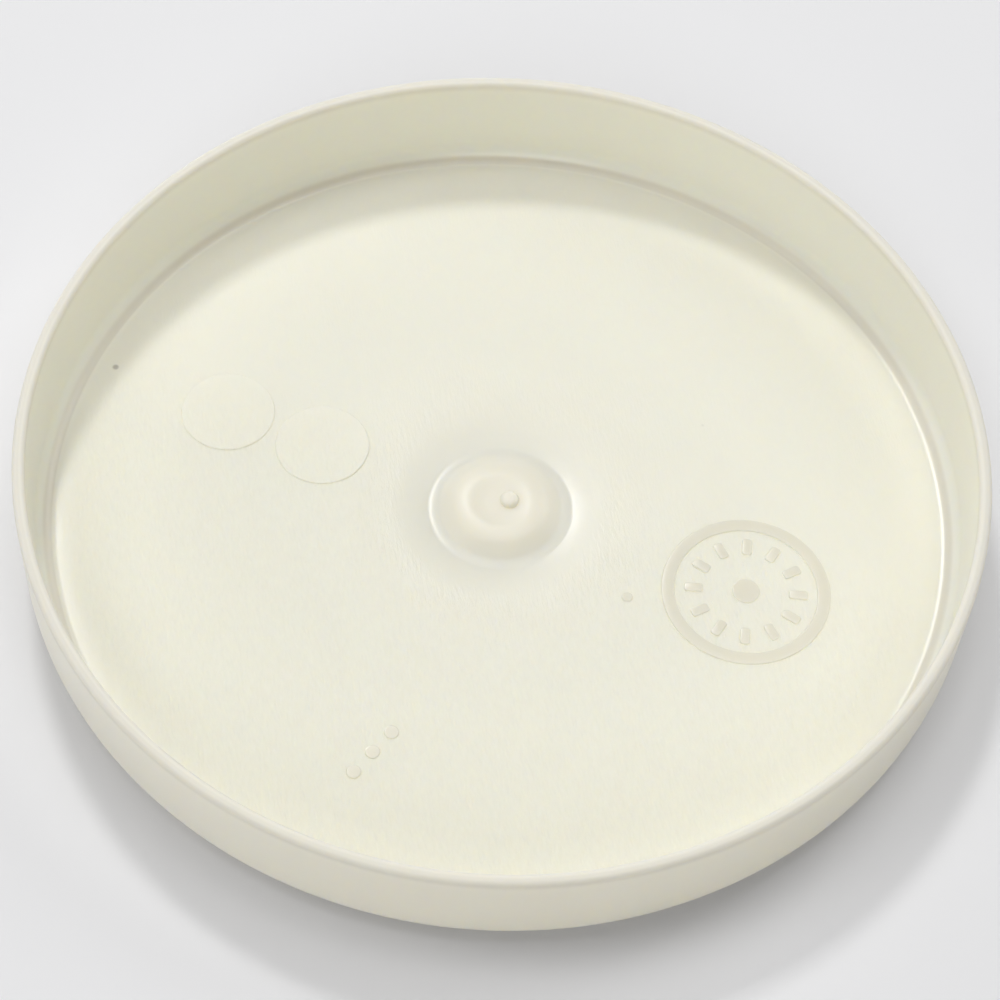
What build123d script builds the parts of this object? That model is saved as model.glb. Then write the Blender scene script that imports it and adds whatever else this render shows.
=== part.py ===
from build123d import *
import os
from math import radians, tan

# A small round follower dish of a cheese mould: one injection moulding in soft
# polyethylene, with a flat floor, a short upright wall and a gate boss in the middle.
# Millimetres. Z is the dish's axis, and the origin is the centre of its flat underside.

# The dish
rim_diameter = 65.0         # over the outside of the lip
height = 8.4                # underside to the top of the lip
wall = 0.85
floor_thickness = 0.9
draft_angle = 1.0           # degrees, the wall leans outwards to leave the tool
lip_round = 0.3             # on both edges of the lip
base_round = 2.4            # outside, between underside and wall
inside_round = 1.4          # inside, between floor and wall

# The gate boss in the middle of the floor, a low crown with a dished top
boss_diameter = 8.9
crown_diameter = 5.2        # the ring where the boss is highest
boss_height = 0.68          # crown above the flat floor
crown_dish = 0.17           # how far the middle lies below the crown ring
middle_diameter = 2.8       # the flat middle that the gate stands on

# The floor sinks a little round the boss, where the thick middle cooled last
sink_diameter = 21.6
sink_depth = 0.28

# The broken-off gate on the boss
gate_foot_diameter = 1.2
gate_tip_diameter = 0.75
gate_height = 0.45
gate_round = 0.15
gate_x = 0.62
gate_y = 0.17

# Low moulded marks on the floor
mark_height = 0.1
mark_root = 0.3             # how deep a mark starts inside the floor
witness_diameter = 6.6      # plain ejector discs
witness_places = [(-19.4, 6.1), (-12.6, 3.9)]
dial_place = (17.0, -5.4)   # a ring with ticks, like a date wheel with no figures
dial_diameter = 11.6
dial_line = 1.0
dial_ticks = 12
tick_gap = 0.6              # between the ring and the ticks' outer ends
tick_length = 1.3
tick_width = 0.7
dial_hub_diameter = 2.0
pip_diameter = 1.1          # a short row of dots
pip_pitch = 1.9
pip_count = 3
pip_place = (-7.0, -19.9)
pip_angle = 55.0
dot_diameter = 0.84         # one small dot beside the dial
dot_place = (9.0, -6.6)

lean = tan(radians(draft_angle))
rim_radius = rim_diameter / 2
foot_radius = rim_radius - height * lean
inner_rim_radius = rim_radius - wall
inner_foot_radius = inner_rim_radius - (height - floor_thickness) * lean
boss_radius = boss_diameter / 2
crown_radius = crown_diameter / 2
middle_radius = middle_diameter / 2
sink_radius = sink_diameter / 2
boss_foot = floor_thickness - sink_depth
crown_level = floor_thickness + boss_height
middle_level = crown_level - crown_dish
tick_ring_radius = dial_diameter / 2 - dial_line - tick_gap - tick_length / 2

with BuildPart() as dish:
    # Half section through floor, boss and wall, turned about the axis
    with BuildSketch(Plane.XZ) as section:
        with BuildLine():
            Polyline(
                (middle_radius, middle_level),
                (0, middle_level),
                (0, 0),
                (foot_radius, 0),
                (rim_radius, height),
                (inner_rim_radius, height),
                (inner_foot_radius, floor_thickness),
                (sink_radius, floor_thickness),
            )
            Spline(
                (sink_radius, floor_thickness),
                (boss_radius, boss_foot),
                tangents=[(-1, 0), (-1, -0.09)],
            )
            Spline(
                (boss_radius, boss_foot),
                (crown_radius, crown_level),
                tangents=[(-1, 0.35), (-1, 0)],
            )
            Spline(
                (crown_radius, crown_level),
                (middle_radius, middle_level),
                tangents=[(-1, 0), (-1, 0)],
            )
        make_face()
        corners = section.vertices()
        lip_corners = corners.group_by(Axis.Y)[-1]
        base_corner = corners.group_by(Axis.Y)[0].sort_by(Axis.X)[-1]
        inside_corner = corners.sort_by_distance((inner_foot_radius, floor_thickness))[0]
        fillet(lip_corners, lip_round)
        fillet(base_corner, base_round)
        fillet(inside_corner, inside_round)
    revolve(axis=Axis.Z)

    # The gate, a short tapered stub with a rounded tip
    with Locations((gate_x, gate_y, middle_level - mark_root)):
        Cone(
            gate_foot_diameter / 2,
            gate_tip_diameter / 2,
            gate_height + mark_root,
            align=(Align.CENTER, Align.CENTER, Align.MIN),
        )
    tip_edges = dish.edges().filter_by(GeomType.CIRCLE).filter_by_position(
        Axis.Z, middle_level + gate_height - 0.01, middle_level + gate_height + 0.01)
    fillet(tip_edges, gate_round)

    # The marks, rooted in the floor so that they stand the same height everywhere
    with BuildSketch(Plane.XY.offset(floor_thickness - mark_root)):
        with Locations(*witness_places):
            Circle(witness_diameter / 2)
        with Locations(dial_place):
            Circle(dial_diameter / 2)
            Circle(dial_diameter / 2 - dial_line, mode=Mode.SUBTRACT)
            Circle(dial_hub_diameter / 2)
            with PolarLocations(tick_ring_radius, dial_ticks):
                Rectangle(tick_length, tick_width)
        with Locations(Location(pip_place, pip_angle)):
            with GridLocations(pip_pitch, 0, pip_count, 1):
                Circle(pip_diameter / 2)
        with Locations(dot_place):
            Circle(dot_diameter / 2)
    extrude(amount=mark_root + mark_height)

dish.part.label = "dish"
os.makedirs("parts", exist_ok=True)
export_step(dish.part, "parts/dish.step")
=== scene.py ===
import math

import bmesh
import bpy
from mathutils import Matrix, Quaternion, Vector


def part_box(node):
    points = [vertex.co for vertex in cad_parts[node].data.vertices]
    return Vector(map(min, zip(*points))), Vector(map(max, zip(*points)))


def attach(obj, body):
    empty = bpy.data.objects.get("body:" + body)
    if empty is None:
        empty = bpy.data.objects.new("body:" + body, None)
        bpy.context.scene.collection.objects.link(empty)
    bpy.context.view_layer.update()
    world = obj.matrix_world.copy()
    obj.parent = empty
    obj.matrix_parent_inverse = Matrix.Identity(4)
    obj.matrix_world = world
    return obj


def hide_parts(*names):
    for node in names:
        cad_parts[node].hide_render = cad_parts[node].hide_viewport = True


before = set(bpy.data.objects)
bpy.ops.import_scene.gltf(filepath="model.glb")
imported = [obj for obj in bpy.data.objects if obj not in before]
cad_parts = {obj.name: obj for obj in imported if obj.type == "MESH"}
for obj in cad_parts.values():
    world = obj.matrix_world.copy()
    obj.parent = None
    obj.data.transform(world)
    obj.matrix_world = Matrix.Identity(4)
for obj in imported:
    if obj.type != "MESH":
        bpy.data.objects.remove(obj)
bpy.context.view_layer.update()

mm = 0.001

# ---------------------------------------------------------------- the dish
# One injection moulding in soft natural polyethylene: a flat floor, a short
# wall with a rounded lip, and a low gate boss in a sunk ring. The half section
# is drawn once and turned about the axis, as the tool for it was.

lip_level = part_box("dish")[1].z
floor_level = 0.9 * mm
wall_thickness = 0.85 * mm
wall_lean = math.tan(math.radians(1.0))
lip_outside = 32.5 * mm
lip_inside = lip_outside - wall_thickness
foot_outside = lip_outside - lip_level * wall_lean
foot_inside = lip_inside - (lip_level - floor_level) * wall_lean

sink_edge = 10.8 * mm
sink_level = floor_level - 0.32 * mm
boss_foot = 4.55 * mm
crown_radius = 2.75 * mm
crown_level = floor_level + 0.71 * mm
middle_radius = 1.4 * mm
middle_level = floor_level + 0.53 * mm

lip_round = 0.3 * mm
inside_round = 1.4 * mm
foot_round = 2.4 * mm
dish_steps = 240


def turned(corners, centre, steps, closed=False):
    """Turns a half section about an upright axis. A corner is radius, level, rounding, segments."""
    mesh = bmesh.new()
    chain = [mesh.verts.new(centre + Vector((radius, 0, level))) for radius, level, _, _ in corners]
    for start, end in zip(chain, chain[1:]):
        mesh.edges.new((start, end))
    if closed:
        mesh.edges.new((chain[-1], chain[0]))
    for corner, (_, _, rounding, segments) in zip(chain, corners):
        if rounding:
            bmesh.ops.bevel(
                mesh, geom=[corner], offset=rounding, offset_type="OFFSET", affect="VERTICES",
                segments=segments, profile=0.5, material=-1,
            )
    bmesh.ops.spin(
        mesh, geom=mesh.verts[:] + mesh.edges[:], cent=centre, axis=(0, 0, 1),
        angle=math.tau, steps=steps, use_merge=True,
    )
    bmesh.ops.remove_doubles(mesh, verts=mesh.verts, dist=1e-7)
    bmesh.ops.recalc_face_normals(mesh, faces=mesh.faces)
    return mesh


def piece(name, mesh):
    """Makes an object of a finished mesh, with its place kept in the mesh."""
    data = bpy.data.meshes.new(name)
    mesh.to_mesh(data)
    mesh.free()
    made = bpy.data.objects.new(name, data)
    bpy.context.scene.collection.objects.link(made)
    return made


dish = piece("dish_moulding", turned([
    (0, 0, 0, 0),
    (foot_outside, 0, foot_round, 14),
    (lip_outside, lip_level, lip_round, 8),
    (lip_inside, lip_level, lip_round, 8),
    (foot_inside, floor_level, inside_round, 14),
    (27 * mm, floor_level, 0, 0),
    (22.5 * mm, floor_level, 0, 0),
    (18 * mm, floor_level, 0, 0),
    (sink_edge, floor_level, 1.2 * mm, 6),
    (8.4 * mm, floor_level - 0.05 * mm, 0.8 * mm, 6),
    (6.5 * mm, floor_level - 0.135 * mm, 0.6 * mm, 6),
    (5.35 * mm, floor_level - 0.225 * mm, 0.25 * mm, 6),
    (boss_foot, sink_level, 0.5 * mm, 10),
    (crown_radius, crown_level, 0.8 * mm, 16),
    (middle_radius, middle_level, 0.45 * mm, 10),
    (0, middle_level, 0, 0),
], Vector(), dish_steps))

# ---------------------------------------------------------------- the gate
# The stub where the runner was twisted off, just beside the boss's middle. It
# is the same plastic, with a blunt, slightly sunken end.

gate_x, gate_y = 0.62, 0.17
root_depth = 0.3 * mm
gate = piece("gate_stub", turned([
    (0, middle_level - root_depth, 0, 0),
    (0.78 * mm, middle_level - root_depth, 0, 0),
    (0.52 * mm, middle_level + 0.40 * mm, 0.26 * mm, 8),
    (0, middle_level + 0.35 * mm, 0, 0),
], Vector((gate_x * mm, gate_y * mm, 0)), 40))

# ---------------------------------------------------------------- moulded marks
# Plain marks cut into the tool's face, so they stand a tenth of a millimetre
# proud of the floor: two ejector discs, a dial with ticks, three pips and a dot.

mark_level = floor_level + 0.1 * mm
mark_root = floor_level - root_depth
flank = 0.07 * mm
edge_round = 0.06 * mm
disc_places = ((-19.4, 6.1), (-12.6, 3.9))
dial_x, dial_y, dial_radius, dial_line = 17.0, -5.4, 5.8 * mm, 1.0 * mm
tick_length, tick_width, tick_gap = 1.3 * mm, 0.7 * mm, 0.6 * mm
pip_x, pip_y, pip_pitch, pip_angle = -7.0, -19.9, 1.9, math.radians(55)
marks = bmesh.new()


def stamp(mark):
    """Adds one finished mark to the set."""
    data = bpy.data.meshes.new("mark")
    mark.to_mesh(data)
    mark.free()
    marks.from_mesh(data)
    bpy.data.meshes.remove(data)


def disc(x, y, radius, steps):
    """A round mark with a softened edge, placed in millimetres."""
    stamp(turned([
        (0, mark_root, 0, 0),
        (radius + flank, mark_root, 0, 0),
        (radius - flank, mark_level, edge_round, 4),
        (radius - flank - 0.1 * mm, mark_level, 0, 0),
        (0, mark_level, 0, 0),
    ], Vector((x, y, 0)) * mm, steps))


def ring(x, y, radius, line, steps):
    """A raised ring of one line's width."""
    stamp(turned([
        (radius + flank, mark_root, 0, 0),
        (radius - flank, mark_level, edge_round, 4),
        (radius - line + flank, mark_level, edge_round, 4),
        (radius - line - flank, mark_root, 0, 0),
    ], Vector((x, y, 0)) * mm, steps, closed=True))


def tick(x, y, angle):
    """A short raised bar with softened edges, turned to lie along a radius."""
    mark = bmesh.new()
    bmesh.ops.create_cube(mark, size=1, matrix=Matrix.Diagonal((
        tick_length, tick_width, mark_level - mark_root, 1)))
    uprights = [e for e in mark.edges if abs(e.verts[0].co.z - e.verts[1].co.z) > 0.1 * mm]
    bmesh.ops.bevel(
        mark, geom=uprights, offset=tick_width * 0.3, offset_type="OFFSET", affect="EDGES",
        segments=4, profile=0.5, material=-1,
    )
    top = max(v.co.z for v in mark.verts)
    rims = [e for e in mark.edges if min(v.co.z for v in e.verts) > top - 0.01 * mm]
    bmesh.ops.bevel(
        mark, geom=rims, offset=0.08 * mm, offset_type="OFFSET", affect="EDGES",
        segments=3, profile=0.5, material=-1,
    )
    bmesh.ops.transform(
        mark, verts=mark.verts,
        matrix=Matrix.Translation((x * mm, y * mm, (mark_level + mark_root) / 2))
        @ Matrix.Rotation(angle, 4, "Z"),
    )
    bmesh.ops.recalc_face_normals(mark, faces=mark.faces)
    stamp(mark)


for x, y in disc_places:
    disc(x, y, 3.3 * mm, 72)

ring(dial_x, dial_y, dial_radius, dial_line, 112)
disc(dial_x, dial_y, 1.0 * mm, 36)
tick_reach = (dial_radius - dial_line - tick_gap - tick_length / 2) / mm
for hour in range(12):
    angle = math.tau * hour / 12
    tick(dial_x + tick_reach * math.cos(angle), dial_y + tick_reach * math.sin(angle), angle)

for place in (-1, 0, 1):
    disc(pip_x + pip_pitch * place * math.cos(pip_angle),
         pip_y + pip_pitch * place * math.sin(pip_angle), 0.55 * mm, 24)
disc(9.0, -6.6, 0.42 * mm, 24)

raised = piece("raised_marks", marks)
for part in (gate, raised):
    fuse = dish.modifiers.new(part.name, "BOOLEAN")
    fuse.operation = "UNION"
    fuse.solver = "EXACT"
    fuse.object = part
graph = bpy.context.evaluated_depsgraph_get()
fused = bpy.data.meshes.new_from_object(dish.evaluated_get(graph))
dish.modifiers.clear()
dish.data = fused
for part in (gate, raised):
    bpy.data.objects.remove(part)
dish.data.shade_smooth()
dish.data.set_sharp_from_angle(angle=math.radians(32))

# ---------------------------------------------------------------- the plastic
# Natural polyethylene, cream and a little translucent. Wall, lip, boss and marks
# have the satin face of the tool. The floor has the fine grain of a rubbed tool
# face, stronger on the near side, and carries a speck of dirt and a few flecks.


class Tone:
    """A shader value that can be written into ordinary sums."""

    def __init__(self, tree, socket):
        self.tree, self.socket = tree, socket

    def make(self, kind, sockets, out=0, **settings):
        """Adds a node with its settings and sockets, and gives one of its outputs."""
        node = self.tree.nodes.new(kind)
        for name, value in settings.items():
            setattr(node, name, value)
        for name, value in sockets.items():
            if isinstance(value, Tone):
                self.tree.links.new(value.socket, node.inputs[name])
            else:
                node.inputs[name].default_value = value
        return Tone(self.tree, node.outputs[out])

    def sum(self, operation, a, b):
        return self.make("ShaderNodeMath", {0: a, 1: b}, operation=operation)

    def __add__(self, other):
        return self.sum("ADD", self, other)

    def __radd__(self, other):
        return self.sum("ADD", other, self)

    def __sub__(self, other):
        return self.sum("SUBTRACT", self, other)

    def __rsub__(self, other):
        return self.sum("SUBTRACT", other, self)

    def __mul__(self, other):
        return self.sum("MULTIPLY", self, other)

    def __rmul__(self, other):
        return self.sum("MULTIPLY", other, self)

    def rise(self, low, high):
        """0 below low, 1 above high, and smooth between; it falls if low is above high."""
        return self.make("ShaderNodeMapRange", {"Value": self, "From Min": low, "From Max": high},
                         interpolation_type="SMOOTHSTEP")

    def noise(self, scale, stretch=(1, 1, 1), turn=0.0, detail=2.0, roughness=0.5):
        """Noise in millimetres on a place, stretched and turned about Z."""
        laid = self.make("ShaderNodeMapping", {
            "Vector": self, "Rotation": (0, 0, turn), "Scale": stretch}, vector_type="TEXTURE")
        return self.make("ShaderNodeTexNoise", {
            "Vector": laid, "Scale": scale, "Detail": detail, "Roughness": roughness})

    def distance(self, x, y):
        """How far a place is from a point on the floor plan, in millimetres."""
        return self.make("ShaderNodeVectorMath", {0: self, 1: (x, y, 0)}, out=1,
                         operation="DISTANCE")

    def blend(self, a, b):
        """Mixes two colours, with this value as the share of the second."""
        return self.make("ShaderNodeMix", {"Factor": self, "A": a, "B": b}, out=2,
                         data_type="RGBA")


plastic = bpy.data.materials.new("natural_polyethylene")
plastic.use_nodes = True
tree = plastic.node_tree
shader = tree.nodes["Principled BSDF"]
metres = Tone(tree, tree.nodes.new("ShaderNodeTexCoord").outputs["Object"])
spot = metres.make("ShaderNodeVectorMath", {"Vector": metres, "Scale": 1 / mm}, operation="SCALE")
across = spot.make("ShaderNodeSeparateXYZ", {"Vector": spot})
away, up = (Tone(tree, across.socket.node.outputs[axis]) for axis in ("Y", "Z"))
plan = spot.make("ShaderNodeCombineXYZ", {"X": across, "Y": away, "Z": 0.0})
reach = plan.distance(0, 0)

# Where each finish lies: floor, rubbed floor, marks, boss, lip and outside
brush_lean = math.radians(12)
ragged = plan.noise(1.0, (0.35, 1.6, 1), brush_lean, 3.0, 0.6)
cloud = plan.noise(0.16, detail=3.0) - 0.5
streak = plan.noise(1.0, (0.22, 1.0, 1), brush_lean, 4.0, 0.62) - 0.5
fine = plan.noise(2.8) - 0.5
on_floor = up.rise(1.35, 1.1) * up.rise(0.4, 0.5)
off_discs = plan.distance(-16, 5).rise(7.2, 7.8)
on_mark = up.rise(0.925, 0.975) * on_floor * reach.rise(5.6, 6.2) * off_discs
before_wall = (reach + ragged).rise(31.2, 28.5)
bare_floor = on_floor * before_wall * (1 - on_mark)
frosted = bare_floor * (reach + (ragged - 0.5) * 3.0).rise(4.5, 15.0)
rubbed = bare_floor * (reach + (ragged - 0.5) * 4.0).rise(6.0, 9.0)
near_side = (away + (ragged - 0.5) * 6.0 + across * 0.25).rise(7.0, -3.0)
grain = rubbed * (near_side * 0.75 + 0.25) * streak
on_boss = reach.rise(5.2, 4.2)
on_lip = up.rise(7.6, 8.3)
outside = reach.rise(31.95, 32.1)
speck = plan.distance(-27.7, 9.2).rise(0.30, 0.10)
flecks = plan.make("ShaderNodeTexVoronoi", {"Vector": plan, "Scale": 0.14}).rise(0.03, 0.012)

# Painted light: the wall, lip and outside take a lighter, less yellow copy of the same plastic's
# colour than the floor has.
lit_wall_colour = (0.947, 0.917, 0.822, 1)
floor_colour = (0.920, 0.884, 0.748, 1)
# Painted shade: the lip is darkened by 14 percent and the outside wall by 5 percent. The marks' 14
# percent is their own duller tone.
shade = (1 - on_mark * 0.14) * (1 - on_lip * 0.14) * (1 - outside * 0.05)
shade = shade * (1 - speck * 0.4) * (1 - flecks * on_floor * 0.10)
# Painted shade: the boss is darkened by 3 percent. The sunk ring within 13 mm is darkened by 5
# percent, partly the polished face's own tone and partly painted shade of the sink.
shade = shade * (1 - reach.rise(4.8, 3.2) * 0.03) * (1 - reach.rise(13.0, 5.5) * 0.05)
shade = shade * (1 + grain * 0.10 + cloud * 0.03)
# This blend lays the painted-light wall colour on the wall, lip and outside, and a third of it on
# the boss.
colour = (reach.rise(29.8, 31.3) + on_boss * 0.35).blend(floor_colour, lit_wall_colour)
colour = colour.make("ShaderNodeVectorMath", {0: colour, "Scale": shade}, operation="SCALE")
tree.links.new(colour.socket, shader.inputs["Base Color"])

on_gate = plan.distance(gate_x, gate_y).rise(1.1, 0.7)
gloss = 0.29 + on_lip * 0.25 + reach.rise(4.9, 4.4) * 0.10 + on_gate * 0.1
gloss = gloss + frosted * (0.22 + cloud * 0.05 + grain * 0.4)
tree.links.new(gloss.socket, shader.inputs["Roughness"])

height = grain * 0.068 + fine * 0.002 + cloud * 0.01
relief = height.make("ShaderNodeBump", {"Strength": 1.0, "Distance": mm, "Height": height})
tree.links.new(relief.socket, shader.inputs["Normal"])

shader.inputs["Subsurface Weight"].default_value = 1.0
shader.inputs["Subsurface Radius"].default_value = (1.0, 0.92, 0.72)
shader.inputs["Subsurface Scale"].default_value = 1.2 * mm
shader.inputs["IOR"].default_value = 1.5
dish.data.materials.clear()
dish.data.materials.append(plastic)
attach(dish, "root")
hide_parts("dish")

# ---------------------------------------------------------------- studio
# A plain pale table, soft panels most of the way round, and one small lamp from
# behind on the left, which puts the bright spot at the foot of the boss.

table_sheet = bmesh.new()
bmesh.ops.create_grid(table_sheet, x_segments=1, y_segments=1, size=3)
table = piece("studio_table", table_sheet)
paper = bpy.data.materials.new("white_paper")
paper.use_nodes = True
paper_shader = paper.node_tree.nodes["Principled BSDF"]
paper_shader.inputs["Base Color"].default_value = (0.85, 0.85, 0.86, 1)
paper_shader.inputs["Roughness"].default_value = 0.9
table.data.materials.append(paper)

room = bpy.data.worlds.new("studio_room")
bpy.context.scene.world = room
room.use_nodes = True
room_light = room.node_tree.nodes["Background"]
room_light.inputs["Color"].default_value = (1, 1, 1, 1)
room_light.inputs["Strength"].default_value = 0.12

light_distance = 0.9
panel_size, lamp_size = 0.36, 0.12
for name, azimuth, elevation, power, size in (
    ("overhead", 90, 88, 0.70, panel_size),
    ("overhead_back_right", 60, 73, 1.08, panel_size),
    ("overhead_left", 160, 73, 0.46, panel_size),
    ("panel_left", 180, 56, 0.94, panel_size),
    ("panel_left_low", 180, 15, 0.61, panel_size),
    ("panel_left_back_low", 120, 15, 0.56, panel_size),
    ("panel_left_front_low", 240, 15, 0.28, panel_size),
    ("panel_back_right", 45, 38, 1.3, panel_size),
    ("panel_front", 270, 38, 1.5, panel_size),
    ("lamp_back_left", 110, 54, 2.1, lamp_size),
):
    panel = bpy.data.lights.new(name, "AREA")
    panel.shape, panel.size, panel.energy = "SQUARE", size, power
    stand = bpy.data.objects.new(name, panel)
    turn, lift = math.radians(azimuth), math.radians(elevation)
    stand.location = light_distance * Vector((
        math.cos(turn) * math.cos(lift), math.sin(turn) * math.cos(lift), math.sin(lift)))
    stand.rotation_mode = "QUATERNION"
    stand.rotation_quaternion = (-stand.location).to_track_quat("-Z", "Y")
    bpy.context.scene.collection.objects.link(stand)

# A close view from the front at 55 degrees, rolled a little to the left
camera_roll = math.radians(4.388)
lens = bpy.data.cameras.new("camera")
lens.sensor_width = 36
lens.lens = 104.87
lens.clip_start, lens.clip_end = 0.01, 20
camera = bpy.data.objects.new("camera", lens)
camera.location = (0, -0.11106, 0.15847 + lip_level)
aim = Vector((-0.00003, -0.00457, lip_level))
facing = (aim - camera.location).to_track_quat("-Z", "Y")
camera.rotation_mode = "QUATERNION"
camera.rotation_quaternion = facing @ Quaternion((0, 0, 1), camera_roll)
bpy.context.scene.collection.objects.link(camera)
bpy.context.scene.camera = camera
bpy.context.scene.view_settings.view_transform = "Standard"
